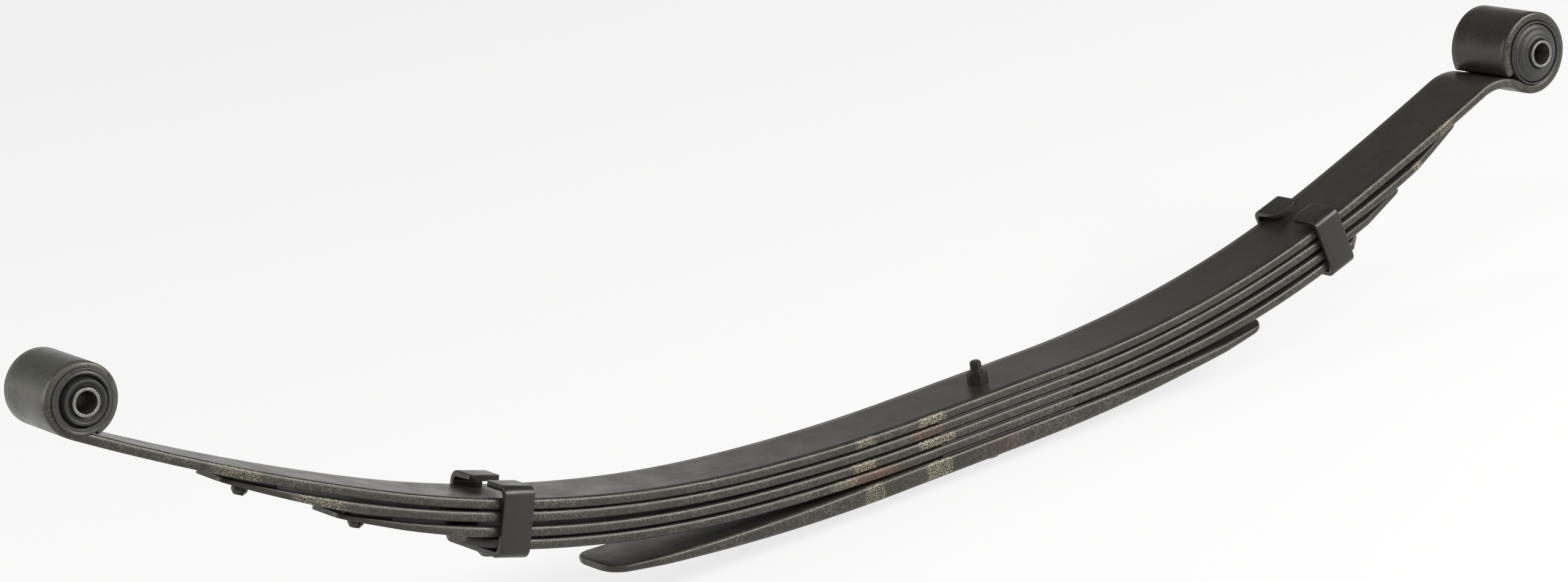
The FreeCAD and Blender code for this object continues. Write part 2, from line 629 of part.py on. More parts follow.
# --- seat shims between neighbouring leaves
shim_places = ["main_second", "second_third", "third_fourth", "fourth_overload"]
for order, place in enumerate(shim_places):
    shim = new_body("shim_" + place)
    sketch = new_sketch(shim, "plan", "XY_Plane")
    outline(sketch, [("seat_half", "shim_width / 2"), ("-seat_half", "shim_width / 2"),
                     ("-seat_half", "-shim_width / 2"), ("seat_half", "-shim_width / 2")])
    circle(sketch, "bolt_diameter / 2 + bolt_hole_clearance")
    lift(shim, "sheet", sketch, "shim_thickness")
    shim.Placement.Base.z = size("%s - leaf_thickness / 2 - shim_thickness" % leaf_height(order))

# --- centre bolt, head down, and its nut on the main leaf
bolt = new_body("center_bolt")
sketch = new_sketch(bolt, "half_section", "XZ_Plane")
top = "(overload_thickness + %d * %s + bolt_stand_out)" % (len(leaf_names), pitch)
outline(sketch, [
    ("0", "-bolt_head_height"), ("bolt_head_diameter / 2 - 1.5", "-bolt_head_height"),
    ("bolt_head_diameter / 2", "1.5 - bolt_head_height"), ("bolt_head_diameter / 2", "0"),
    ("bolt_diameter / 2", "0"), ("bolt_diameter / 2", top + " - bolt_diameter / 3"),
    ("bolt_diameter / 3", top + " - bolt_diameter / 12"), ("bolt_diameter / 6", top), ("0", top)])
turned(bolt, "turned", sketch)

nut = new_body("center_bolt_nut")
sketch = new_sketch(nut, "hexagon", "XY_Plane")
outline(sketch, [("nut_across_flats / sqrt(3) * cos(%d)" % turn, "nut_across_flats / sqrt(3) * sin(%d)" % turn)
                 for turn in range(10, 370, 60)])
circle(sketch, "bolt_diameter / 2 + nut_thread_clearance")
lift(nut, "hexagon_bar", sketch, "nut_height")
sketch = new_sketch(nut, "crown", "XZ_Plane")
for level, sign in (("nut_height", "-"), ("0", "")):
    outline(sketch, [("nut_across_flats / 2", level),
                     ("nut_across_flats", level),
                     ("nut_across_flats", level + " + (%s1) * nut_across_flats / 2 * tan(30)" % sign)])
turned(nut, "crown_cut", sketch, "PartDesign::Groove")
nut.Placement.Base.z = size("overload_thickness + %d * %s" % (len(leaf_names), pitch))


# --- bushings, turned about the eye's axis: Y is up in their half-sections
def tube(name, inner, outer, low, high, rim):
    """A plain tube with its outer rims broken by a small chamfer."""
    body = new_body(name)
    sketch = new_sketch(body, "half_section", "XY_Plane")
    outline(sketch, [(inner, low), (outer + " - " + rim, low), (outer, "%s + %s" % (low, rim)),
                     (outer, "%s - %s" % (high, rim)), (outer + " - " + rim, high), (inner, high)])
    turned(body, "turned", sketch)
    return body


def bushing(half):
    eye = "(%s_eye_bore / 2 - bushing_press_gap)" % half
    can_inner = "(%s - can_wall)" % eye
    sleeve = half + "_sleeve_diameter / 2"
    end = "(leaf_width / 2 + %s_can_proud)" % half
    if half == "rear":
        can = new_body("rear_bushing_can")
        sketch = new_sketch(can, "half_section", "XY_Plane")
        lip = "-(%s + rear_can_flange_thickness)" % end
        flange = "rear_can_flange_diameter / 2"
        outline(sketch, [(can_inner, lip), (flange, lip), (flange, "-" + end), (eye, "-" + end),
                         (eye, end), (can_inner, end)])
        turned(can, "turned", sketch)
    else:
        lip = "-" + end
        can = tube("front_bushing_can", can_inner, eye, lip, end, "can_wall / 3")
    rubber = new_body(half + "_bushing_rubber")
    sketch = new_sketch(rubber, "half_section", "XY_Plane")
    inner, outer = "(%s + bushing_running_gap)" % sleeve, "(%s - bushing_press_gap)" % can_inner
    if half == "rear":
        ridge = "rear_ridge_diameter / 2"
        groove = "(rear_ridge_diameter / 2 + %s) / 2" % outer
        profile = [(inner, "rear_ridge_proud / 2"), (ridge + " - 2", "rear_ridge_proud"),
                   (ridge, "rear_ridge_proud / 2"), (groove, "-rear_groove_depth"), (outer, "0")]
    else:
        dome = "front_dome_diameter / 2"
        profile = [(inner, "front_dome_proud"), (dome, "front_dome_proud * 0.7"), (outer, "-0.5")]
    near = [(radius, "%s - (%s)" % (lip, proud)) for radius, proud in profile]
    far = [(radius, "%s + (%s)" % (end, proud)) for radius, proud in reversed(profile)]
    outline(sketch, near + far)
    turned(rubber, "turned", sketch)
    core = tube(half + "_bushing_sleeve", half + "_sleeve_bore / 2", sleeve,
                "-%s_sleeve_length / 2" % half, half + "_sleeve_length / 2", "0.8")
    for body in (can, rubber, core):
        body.Placement.Base = eye_centres[half]
    print(half, "eye centre", eye_centres[half])


bushing("rear")
bushing("front")

doc.recompute()
faults = [item.Name for item in doc.Objects if {"Invalid", "Error"} & set(item.State)]
bodies = [item for item in doc.Objects if item.TypeId == "PartDesign::Body"]
faults += [body.Label for body in bodies
           if body.Shape.isNull() or not body.Shape.isValid() or len(body.Shape.Solids) != 1]
if faults:
    raise RuntimeError("not built: " + ", ".join(faults))

os.makedirs("parts", exist_ok=True)
for body in bodies:
    body.Shape.exportStep("parts/%s.step" % body.Label)
    print(body.Label, round(body.Shape.Volume), "mm3")
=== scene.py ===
import math
import bpy
import numpy as np
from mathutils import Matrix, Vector


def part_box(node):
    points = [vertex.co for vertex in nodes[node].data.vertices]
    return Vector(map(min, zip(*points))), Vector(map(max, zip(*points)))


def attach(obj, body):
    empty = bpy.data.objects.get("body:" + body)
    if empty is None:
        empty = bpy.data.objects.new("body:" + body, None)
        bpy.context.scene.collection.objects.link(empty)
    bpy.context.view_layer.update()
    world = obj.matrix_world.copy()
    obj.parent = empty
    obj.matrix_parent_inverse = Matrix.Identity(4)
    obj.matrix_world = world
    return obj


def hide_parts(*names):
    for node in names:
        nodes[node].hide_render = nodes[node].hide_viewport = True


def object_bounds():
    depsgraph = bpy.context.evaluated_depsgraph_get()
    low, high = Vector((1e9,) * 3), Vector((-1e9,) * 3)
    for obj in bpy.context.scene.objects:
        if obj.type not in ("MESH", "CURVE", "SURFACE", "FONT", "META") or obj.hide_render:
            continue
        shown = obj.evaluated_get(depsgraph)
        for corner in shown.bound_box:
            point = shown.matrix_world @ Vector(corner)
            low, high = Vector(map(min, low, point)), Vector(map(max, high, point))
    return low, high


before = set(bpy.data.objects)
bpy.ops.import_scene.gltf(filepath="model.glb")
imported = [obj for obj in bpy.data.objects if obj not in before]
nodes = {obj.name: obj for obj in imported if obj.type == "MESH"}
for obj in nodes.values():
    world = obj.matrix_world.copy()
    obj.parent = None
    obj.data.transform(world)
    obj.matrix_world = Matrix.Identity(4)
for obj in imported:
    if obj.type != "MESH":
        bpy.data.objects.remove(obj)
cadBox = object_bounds()

# Leaf stock, in metres; pitch is one leaf and one shim
stock = {"thick": 0.0074, "half": 0.03175, "edge": 0.0055, "pitch": 0.0088, "seat": 0.064, "overload": 0.015}
leafThick, halfWidth, edgeRadius, pitch = (stock[key] for key in ("thick", "half", "edge", "pitch"))
stackTop = stock["overload"] + 4 * pitch
side = {"rear": -1.0, "front": 1.0}


def newPiece(name, points, quads, caps, body, replaced, spots=None):
    # Mesh from points and faces, turned outwards: the signed volume is a sum of a . (b x c) over triangles
    first, second, third, fourth = (points[quads[:, corner]] for corner in range(4))
    volume = np.einsum("ij,ij->", first, np.cross(second, third) + np.cross(third, fourth))
    if volume < 0:
        quads, caps = quads[:, ::-1], caps[:, ::-1]
    mesh = bpy.data.meshes.new(name)
    mesh.from_pydata(points.tolist(), [], quads.tolist() + caps.tolist())
    mesh.polygons.foreach_set("use_smooth", [True] * len(quads) + [False] * len(caps))
    if spots is not None:
        layer = mesh.uv_layers.new(name="along")
        corner = np.empty(len(mesh.loops), np.int32)
        mesh.loops.foreach_get("vertex_index", corner)
        layer.data.foreach_set("uv", spots[corner].ravel())
    mesh.update()
    piece = bpy.data.objects.new(name, mesh)
    bpy.context.scene.collection.objects.link(piece)
    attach(piece, body)
    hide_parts(*replaced)
    return piece


def gridFaces(rings, count, closed):
    # Quads between neighbouring rings of count points; closed joins the last ring to the first
    ring, step = np.meshgrid(np.arange(rings if closed else rings - 1), np.arange(count), indexing="ij")
    following, after = (ring + 1) % rings, (step + 1) % count
    corners = [ring * count + step, ring * count + after, following * count + after, following * count + step]
    return np.stack(corners, -1).reshape(-1, 4)


def barPiece(name, rows, along, replaced):
    # Rings of points (rings, points, 3) skinned into a bar, with a fan to the middle of each end ring
    rings, count = rows.shape[:2]
    points = np.concatenate([rows.reshape(-1, 3), rows[[0, -1]].mean(1)])
    step = np.arange(count)
    after, last = (step + 1) % count, (rings - 1) * count
    caps = np.concatenate([np.stack([np.full(count, rings * count), after, step], 1),
                           np.stack([np.full(count, rings * count + 1), last + step, last + after], 1)])
    spots = None if along is None else np.concatenate([along.reshape(-1, 2), along[[0, -1]].mean(1)])
    return newPiece(name, points, gridFaces(rings, count, False), caps, "spring_pack", replaced, spots)


def arcStep(sign, heading, radius, distance, up):
    # Straight: distance times the heading. Arc: radius times the change of sine and cosine of the heading
    if radius is None:
        return np.stack([sign * np.cos(heading) * distance, np.sin(heading) * distance], -1)
    turned = heading + up * distance / radius
    return radius * up * np.stack([sign * (np.sin(turned) - np.sin(heading)),
                                   np.cos(heading) - np.cos(turned)], -1)


def limbPath(half, height, bends, reach=99.0, step=0.002):
    # Top-face line of half a leaf: a straight seat, then arcs of (radius, length, up) until the reach.
    # The heading turns by length / radius. Gives stations, points (x, z) and headings.
    sign, point, heading, station = side[half], np.array([0.0, height]), 0.0, 0.0
    stations, points, headings = [], [], []
    for radius, length, up in [(None, stock["seat"], 1)] + bends:
        length = min(length, reach - station)
        if length <= 0:
            break
        distance = np.linspace(0, length, max(2, int(length / step)), endpoint=False)
        turn = 0.0 if radius is None else up / radius
        stations.append(station + distance)
        points.append(point + arcStep(sign, heading, radius, distance, up))
        headings.append(heading + turn * distance)
        point = point + arcStep(sign, heading, radius, length, up)
        heading, station = heading + turn * length, station + length
    return (np.append(np.concatenate(stations), station), np.concatenate(points + [point[None]]),
            np.append(np.concatenate(headings), heading))


def barSection(width, thick, steps=9):
    # (y, depth) round the bar: flat faces, and edge arcs whose half angle has a sine of thick / 2 over the
    # edge radius; depth runs down from the top face. width and thick hold one value for each ring
    width, thick = width[:, None], thick[:, None]
    turns = np.arcsin(np.minimum(thick / 2 / edgeRadius, 0.98)) * np.linspace(1, -1, steps)
    outY = width - edgeRadius * (1 - np.cos(turns))
    depth = thick / 2 - edgeRadius * np.sin(turns)
    across = np.linspace(1, -1, 12)[1:-1]
    y = [outY, outY[:, -1:] * across, -outY[:, ::-1], -outY[:, :1] * across]
    down = [depth, thick + 0 * across, depth[:, ::-1], 0 * thick + 0 * across]
    return np.stack([np.concatenate(y, 1), np.concatenate(down, 1)], -1)


def leafRows(half, path, width, thick):
    # Each ring stands square to the heading, its top at the path's point
    stations, points, headings = path
    section, sign = barSection(width(stations), thick(stations)), side[half]
    down = sign * np.sin(headings)[:, None], -np.cos(headings)[:, None]
    rows = np.stack([points[:, :1] + down[0] * section[..., 1], section[..., 0],
                     points[:, 1:] + down[1] * section[..., 1]], -1)
    return rows, np.stack([sign * stations[:, None] + 0 * section[..., 0], section[..., 0]], -1)


def tipWidth(reach, trim, tip, corner=0.009):
    # Half-width near a tip: a straight trim from reach - trim, then a quarter round at the very end
    def width(s):
        past = np.clip(s - (reach - corner), 0, corner)
        straight = np.interp(s, [reach - trim, reach], [halfWidth, tip])
        return straight - corner + np.sqrt(corner ** 2 - past ** 2)
    return width


def tipThick(reach, taper, tip):
    # Thickness near a tip falls in a straight line over the taper
    return lambda s: np.interp(s, [reach - taper, reach], [leafThick, tip])


def bothHalves(name, rear, front, replaced):
    # One bar from the rear tip to the front tip: the rear rings reversed, then the front ones
    rows, along = (np.concatenate([back[::-1], ahead[1:]]) for back, ahead in zip(rear, front))
    return barPiece(name, rows, along, replaced)


# Main leaf: (radius, length) of each half's bends, then the eyes: top-face radius and wrap in degrees.
# A nearly straight lead joins each eye; the front one first dips over a crest
mainBends = {"rear": [(1.66, 0.17), (0.97, 0.306), (2.0, 0.246)],
             "front": [(1.04, 0.12), (0.99, 0.19), (3.2, 0.1543)]}
eyes = {"lead": (10.0, 0.002), "crest": 0.05, "drop": 35.4, "rear": (0.01905, 314), "front": (0.026, 328)}


def bendsUnder(half, order, eases):
    # Lower leaves bend round the main leaf: its radius plus one pitch for each leaf above and an easing
    return [(radius + order * pitch + ease, length, 1)
            for (radius, length), ease in zip(mainBends[half], eases)]


def eyeRoll(half):
    # Lead, crest and roll as (top-face radius, length, up); the crest undoes the bends and drops past level
    radius, wrap = eyes[half]
    slope = sum(length / bend for bend, length in mainBends["front"])
    crest = [(eyes["crest"], eyes["crest"] * (math.radians(eyes["drop"]) + slope), -1)]
    roll = [(radius, radius * math.radians(wrap), 1)]
    return [(*eyes["lead"], 1)] + (crest if half == "front" else []) + roll


mainRows = [leafRows(half, limbPath(half, stackTop, bendsUnder(half, 0, (0, 0, 0)) + eyeRoll(half)),
                     lambda s: halfWidth + 0 * s, lambda s: leafThick + 0 * s) for half in side]
mainLeaf = bothHalves("main_leaf_surface", *mainRows, ["main_leaf", "rear_eye", "front_eye"])
print("main leaf")

# Shorter leaves: reach and easing of each half, trim length, tip half-width and thickness, taper length
shorter = {
    "second": {"rear": (0.669, (-0.05, 0.055, -0.75)), "front": (0.506, (-0.04, 0.195, -1.95)),
               "trim": 0.062, "tip": (0.022, 0.0034), "taper": 0.105},
    "third": {"rear": (0.578, (0.14, 0, 0)), "front": (0.433, (0.06, 0.12, 5.0)),
              "trim": 0.05, "tip": (0.022, 0.0034), "taper": 0.105},
    "fourth": {"rear": (0.472, (0.185, -0.015, 0)), "front": (0.384, (0.365, -0.2, 0)),
               "trim": 0.02, "tip": (0.017, 0.0064), "taper": 0.03},
}


def shorterPath(name, half):
    order = list(shorter).index(name) + 1
    reach, eases = shorter[name][half]
    return limbPath(half, stackTop - order * pitch, bendsUnder(half, order, eases), reach, 0.001)


leaves = [mainLeaf]
for name, leaf in shorter.items():
    rows = [leafRows(half, shorterPath(name, half), tipWidth(leaf[half][0], leaf["trim"], leaf["tip"][0]),
                     tipThick(leaf[half][0], leaf["taper"], leaf["tip"][1])) for half in side]
    leaves.append(bothHalves(name + "_leaf_surface", *rows, [name + "_leaf"]))
print("shorter leaves")

# Overload leaf: (flat, radius) of its sole and of its top in each half; square section, rounded edges
overload = {
    "rear": {"reach": 0.361, "sole": (0.11, 1.65), "top": (0.15, 2.35)},
    "front": {"reach": 0.266, "sole": (0.025, 1.5), "top": (0.08, 1.84)},
    "trim": 0.045, "tip": 0.027, "corner": 0.014, "edge": 0.0040,
}


def archHeight(distance, flat, radius):
    # Rise of an arc that starts level: the radius less the root of its square less the run squared
    run = np.maximum(distance - flat, 0)
    return radius - np.sqrt(radius ** 2 - run ** 2)


def roundedSection(width, low, high, edge, steps=7):
    # (y, z) round a rectangle with quarter circles of the edge radius; one width, low and high a ring
    width, low, high = (np.asarray(value)[:, None] for value in (width, low, high))
    edge = np.minimum(edge, (high - low) * 0.42)
    ring = []
    for out, top, start in ((1, 1, 90), (1, 0, 0), (-1, 0, 270), (-1, 1, 180)):
        angles = np.radians(np.linspace(start, start - 90, steps))
        ring.append(np.stack([out * (width - edge) + edge * np.cos(angles),
                              (high - edge if top else low + edge) + edge * np.sin(angles)], -1))
    return np.concatenate(ring, 1)


def overloadRows(half):
    shape, sign = overload[half], side[half]
    stations = np.linspace(0, shape["reach"], 300)
    width = tipWidth(shape["reach"], overload["trim"], overload["tip"], overload["corner"])
    ring = roundedSection(width(stations), archHeight(stations, *shape["sole"]),
                          stock["overload"] + archHeight(stations, *shape["top"]), overload["edge"])
    x = sign * stations[:, None] + 0 * ring[..., 0]
    return np.stack([x, ring[..., 0], ring[..., 1]], -1), np.stack([x, ring[..., 0]], -1)


leaves.append(bothHalves("overload_leaf_surface", overloadRows("rear"), overloadRows("front"),
                         ["overload_leaf"]))
print("overload leaf")

# Rebound clips: a strap bent square round the pack, with rounded tabs that lie over the main leaf
clip = {"half": 0.0125, "thick": 0.0045, "bend": 0.00525, "inner": 0.03275, "reach": 0.028,
        "corner": 0.004, "gap": 0.001, "stack": 4 * leafThick + 3 * 0.0014, "headroom": 0.0078,
        "edge": 0.0009, "lip": 0.0004, "station": {"rear": 0.445, "front": 0.345}}


def strapPath(corners, bend, step=0.0006):
    # Points through the corners, each rounded by a quarter circle of the bend radius, evenly spaced
    path = [np.array(corners[:1])]
    turn = np.linspace(0, math.pi / 2, 10)[:, None]
    for before, corner, after in zip(corners, corners[1:], corners[2:]):
        back, ahead = np.subtract(before, corner), np.subtract(after, corner)
        back, ahead = back / np.linalg.norm(back), ahead / np.linalg.norm(ahead)
        path.append(corner + (back + ahead) * bend - ahead * bend * np.cos(turn) - back * bend * np.sin(turn))
    path = np.concatenate(path + [np.array(corners[-1:])])
    run = np.append(0, np.cumsum(np.linalg.norm(np.diff(path, axis=0), axis=1)))
    even = np.linspace(0, run[-1], int(run[-1] / step))
    return even, np.stack([np.interp(even, run, path[:, 0]), np.interp(even, run, path[:, 1])], -1)


def buildClip(half):
    # The strap's section (x along the leaf, n across the strap) is carried round the strap's path (y, z)
    stations, points, headings = shorterPath("fourth", half)
    station, sign = clip["station"][half], side[half]
    x, z, heading = (np.interp(station, stations, line) for line in (points[:, 0], points[:, 1], headings))
    forward = np.array([sign * math.cos(heading), 0, math.sin(heading)])
    upward = np.array([-sign * math.sin(heading), 0, math.cos(heading)])
    sideways = np.array([0, 1, 0])
    base = np.array([x, 0, z]) - upward * leafThick
    thick, corner = clip["thick"], clip["corner"]
    wall, tab = clip["inner"] + thick / 2, clip["inner"] + thick - clip["reach"]
    low, high = -clip["gap"] - thick / 2, clip["stack"] + clip["headroom"] + thick / 2
    run, line = strapPath([(tab, high), (wall, high), (wall, low), (-wall, low), (-wall, high), (-tab, high)],
                          clip["bend"])
    ahead = np.gradient(line, axis=0)
    ahead /= np.linalg.norm(ahead, axis=1, keepdims=True)
    fromEnd = np.minimum(run, run[-1] - run)
    width = clip["half"] - corner + np.sqrt(corner ** 2 - np.maximum(corner - fromEnd, 0) ** 2)
    lip = thick / 2 - clip["lip"] * np.maximum(1 - fromEnd / (3 * clip["lip"]), 0)
    ring = roundedSection(width, -lip, lip, clip["edge"], 5)
    across = -ahead[:, 1:, None] * sideways + ahead[:, :1, None] * upward
    rows = (base + ring[..., :1] * forward + line[:, None, :1] * sideways + line[:, None, 1:] * upward
            + ring[..., 1:] * across)
    return barPiece(half + "_clip_strap", rows, None, [half + "_clip"])


clips = [buildClip(half) for half in side]
print("clips")


def turnedPiece(name, profile, centre, axis, body, replaced, count=96, shape=None):
    # Surface of revolution of a closed (radius, distance along the axis) profile.
    # shape(radius, distance, angle) moves the points, for teeth, threads and flats
    angle = np.linspace(0, 2 * math.pi, count, endpoint=False)[:, None]
    radius, distance = (np.asarray(profile)[:, column] + 0 * angle for column in (0, 1))
    if shape:
        radius, distance = shape(radius, distance, angle)
    u, v = radius * np.cos(angle), radius * np.sin(angle)
    rows = np.stack([u, distance, v] if axis == "Y" else [u, v, distance], -1) + np.array(centre)
    return newPiece(name, rows.reshape(-1, 3), gridFaces(*rows.shape[:2], True), np.empty((0, 3), int),
                    body, replaced)


def softened(profile, step=0.0004):
    # Each side keeps its middle, cut back by at most step or a quarter at both ends, twice over
    points = np.array(profile)
    for _ in range(2):
        after = np.roll(points, -1, axis=0)
        length = np.linalg.norm(after - points, axis=1, keepdims=True)
        share = np.minimum(0.25, step / np.maximum(length, 1e-9))
        points = np.stack([points + (after - points) * share, after - (after - points) * share], 1)
        points = points.reshape(-1, 2)
    return points


def eyeCentre(half):
    low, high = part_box(half + "_bushing_sleeve")
    return ((low.x + high.x) / 2, 0.0, (low.z + high.z) / 2)


def mirrored(near):
    # The far side repeats the near side: (radius, distance), then the same radii at minus distance
    return near + [(radius, -distance) for radius, distance in reversed(near)]


def sleeveTeeth(end, inner, outer, rise=0.00016):
    # The end faces rise and fall by a sine of 28 turns round the sleeve, cut square
    def shape(radius, distance, angle):
        biting = (np.abs(distance) > end - 0.0004) & (radius > inner) & (radius < outer)
        return radius, distance - np.sign(distance) * rise * (biting & (np.sin(28 * angle) > 0))
    return shape


# Bushings: face is each can's distance from the middle. Profiles are (radius, distance along the eye), with
# rim and rubber measured outwards from the face; soft is the most a corner is cut back
bushings = {
    "rear": {
        "face": 0.03405, "soft": (0.0005, 0.0004), "far": 0.0016,
        "rim": [(0.0224, 0), (0.0212, 0.0001), (0.0204, 0.0007), (0.0196, 0.0002), (0.0186, 0),
                (0.01745, 0.0012)],
        "shell": [(0.01745, 0.0324), (0.01905, 0.0324), (0.01905, -0.0322), (0.0220, -0.0323),
                  (0.0228, -0.0330)],
        "rubber": [(0.01028, -0.0008), (0.0112, -0.0012), (0.0122, -0.0016), (0.0134, -0.0030),
                   (0.0148, -0.0034), (0.0156, -0.0026), (0.0160, 0.0006), (0.0166, 0.0036),
                   (0.0171, 0.0036), (0.01740, 0.0010)],
        "sleeve": [(0.0077, -0.0372), (0.0079, -0.0378), (0.0084, -0.038), (0.0096, -0.038),
                   (0.0101, -0.0376), (0.0102, -0.0366)],
        "teeth": (0.038, 0.0078, 0.0099)},
    "front": {
        "face": 0.03265, "soft": (0.0002, 0.0003), "far": 0.0,
        "rim": [(0.0244, 0.001), (0.0246, 0.0002), (0.0252, 0), (0.0258, 0.0002), (0.02598, 0.0010)],
        "shell": [],
        "rubber": [(0.01128, -0.0030), (0.0118, -0.0044), (0.0130, -0.0049), (0.0148, -0.0042),
                   (0.0153, -0.0035), (0.0158, -0.0038), (0.0180, -0.0030), (0.0198, -0.0016),
                   (0.0203, -0.0006), (0.0208, -0.0008), (0.0230, 0.0004), (0.0240, 0.0016),
                   (0.02435, 0.0024)],
        "sleeve": [(0.0087, -0.0394), (0.0089, -0.0400), (0.0094, -0.0403), (0.0107, -0.0403),
                   (0.0111, -0.0399), (0.0112, -0.0388)],
        "teeth": (0.0403, 0.0088, 0.0109)},
}
cans, rubbers, sleeves = [], [], []
for half, bushing in bushings.items():
    rimLine, rubberLine = ([(radius, out - bushing["face"]) for radius, out in bushing[part]]
                           for part in ("rim", "rubber"))
    canLine = bushing["shell"] + rimLine if bushing["shell"] else mirrored(rimLine)
    canSoft, rubberSoft = bushing["soft"]
    farLine = [(radius, -distance - bushing["far"]) for radius, distance in reversed(rubberLine)]
    name, centre = half + "_bushing_", eyeCentre(half)
    cans.append(turnedPiece(name + "rim", softened(canLine, canSoft), centre, "Y", "spring_pack",
                            [name + "can"]))
    rubbers.append(turnedPiece(name + "rubber_surface", softened(rubberLine + farLine, rubberSoft), centre,
                               "Y", "spring_pack", [name + "rubber"]))
    sleeves.append(turnedPiece(name + "sleeve_surface", mirrored(bushing["sleeve"]), centre, "Y",
                               half + "_sleeve", [name + "sleeve"], 168, sleeveTeeth(*bushing["teeth"])))
print("bushings")

# Centre bolt: pan head under the seat, plain shank, then a thread above the main leaf
bolt = {"radius": 0.00475, "threadPitch": 0.00158, "threadDepth": 0.00085, "top": stackTop + 0.0172,
        "headRadius": 0.00875, "headHeight": 0.0095, "start": stackTop + 0.001, "point": 0.0031}


def boltThread(radius, distance, angle):
    # The radius falls by the thread depth times a triangle wave of height over pitch less turns
    phase = (distance / bolt["threadPitch"] - angle / (2 * math.pi)) % 1
    cut = radius - bolt["threadDepth"] * np.minimum(np.abs(2 * phase - 1) * 1.15, 1)
    cut = np.minimum(cut, bolt["point"] + np.maximum(bolt["top"] - distance, 0))
    return np.where((distance > bolt["start"]) & (radius > 0.003), cut, radius), distance


boltRise = [(bolt["radius"], z) for z in np.arange(bolt["start"], bolt["top"], bolt["threadPitch"] / 9)]
boltSurface = turnedPiece("center_bolt_surface", [
    (0.0002, -bolt["headHeight"]), (0.0070, -bolt["headHeight"]), (0.0083, -bolt["headHeight"] + 0.0005),
    (bolt["headRadius"], -bolt["headHeight"] + 0.0016), (bolt["headRadius"], -0.0002), (0.0085, 0),
    (bolt["radius"], 0), (bolt["radius"], stackTop)] + boltRise
    + [(0.0029, bolt["top"]), (0.0024, bolt["top"] + 0.0001), (0.0002, bolt["top"] + 0.0001)],
    (0, 0, 0), "Z", "spring_pack", ["center_bolt"], 60, boltThread)

nut = {"flats": 0.0143, "height": 0.0084, "turn": math.radians(10)}


def nutFlats(radius, distance, angle):
    # Hexagon: half the flats over the cosine of the angle from the nearest flat, cut by a cone at each end
    turn = np.abs((angle - nut["turn"] + math.pi / 6) % (math.pi / 3) - math.pi / 6)
    flat = nut["flats"] / 2 / np.cos(math.pi / 6 - turn)
    up, down = stackTop + nut["height"] - distance, distance - stackTop
    cone = nut["flats"] / 2 * 0.985 + 1.73 * np.minimum(up, down * 1.6 + 0.0004)
    return np.where(radius > 0.006, np.minimum(flat, cone), radius), distance


nutHeights = np.concatenate([np.linspace(0, 0.0012, 7), np.linspace(0.0018, nut["height"] - 0.0018, 4),
                             np.linspace(nut["height"] - 0.0014, nut["height"], 9)])
nutSurface = turnedPiece("center_bolt_nut_surface", [(0.0048, stackTop + 0.0001)]
                         + [(0.0071, stackTop + z) for z in nutHeights]
                         + [(0.0053, stackTop + nut["height"]), (0.0049, stackTop + nut["height"] - 0.0006)],
                         (0, 0, 0), "Z", "spring_pack", ["center_bolt_nut"], 144, nutFlats)
print("bolt and nut")


# Finishes
def connect(tree, socket, value):
    if isinstance(value, bpy.types.NodeSocket):
        tree.links.new(value, socket)
    else:
        socket.default_value = value


def put(tree, kind, sockets=(), **settings):
    # Adds a node: settings are its own fields, sockets are (name or place, value or socket) pairs
    node = tree.nodes.new(kind)
    for name, value in settings.items():
        setattr(node, name, value)
    for place, value in sockets:
        connect(tree, node.inputs[place], value)
    return node


def maths(tree, operation, first, second=0.0):
    return put(tree, "ShaderNodeMath", [(0, first), (1, second)], operation=operation).outputs[0]


def noise(tree, vector, scale, detail=3.0, rough=0.55):
    sockets = [("Vector", vector), ("Scale", scale), ("Detail", detail), ("Roughness", rough)]
    return put(tree, "ShaderNodeTexNoise", sockets).outputs[0]


def ramp(tree, value, low, high, start=0.0, end=1.0):
    # Straight-line map of value from low..high to start..end, held at both ends
    sockets = [("Value", value), ("From Min", low), ("From Max", high), ("To Min", start), ("To Max", end)]
    return put(tree, "ShaderNodeMapRange", sockets).outputs[0]


def blendColour(tree, share, first, second):
    return put(tree, "ShaderNodeMix", [(0, share), (6, first), (7, second)], data_type="RGBA").outputs[2]


def newGroup(name, inputs, outputs):
    group = bpy.data.node_groups.new(name, "ShaderNodeTree")
    for label in inputs:
        kind = "NodeSocketVector" if label == "Place" else "NodeSocketFloat"
        group.interface.new_socket(name=label, in_out="INPUT", socket_type=kind)
    for label in outputs:
        group.interface.new_socket(name=label, in_out="OUTPUT", socket_type="NodeSocketFloat")
    return group, group.nodes.new("NodeGroupInput").outputs, group.nodes.new("NodeGroupOutput").inputs


def effect(tree, group, sockets):
    return put(tree, "ShaderNodeGroup", sockets, node_tree=group).outputs


# Grain: a broad cloud, a grain twelve times finer, and their sum as a height
grain, given, made = newGroup("surfaceGrain", ["Place", "Scale"], ["Cloud", "Height"])
cloud = noise(grain, given["Place"], given["Scale"], 4)
fine = noise(grain, given["Place"], maths(grain, "MULTIPLY", given["Scale"], 12.0), 4)
connect(grain, made["Cloud"], ramp(grain, cloud, 0.3, 0.7))
connect(grain, made["Height"], maths(grain, "ADD", maths(grain, "MULTIPLY", fine, 0.5), cloud))

# Rubbed edge and painted highlight: lighter specks where the distance across the leaf passes the start of the
# rounded edge; partly worn paint, partly a painted highlight along the rounded edges
edgeWearAndSheen, given, made = newGroup("edgeWearAndPaintedSheen", ["Place", "Across"], ["Mask"])
edgeBand = ramp(edgeWearAndSheen, maths(edgeWearAndSheen, "ABSOLUTE", given["Across"]), 0.0296, 0.0308)
specks = ramp(edgeWearAndSheen, noise(edgeWearAndSheen, given["Place"], 620, 4, 0.65), 0.47, 0.62)
broad = ramp(edgeWearAndSheen, noise(edgeWearAndSheen, given["Place"], 26, 2), 0.35, 0.65, 0.25, 1.0)
connect(edgeWearAndSheen, made["Mask"], maths(edgeWearAndSheen, "MULTIPLY", maths(edgeWearAndSheen, "MULTIPLY", edgeBand, specks), broad))

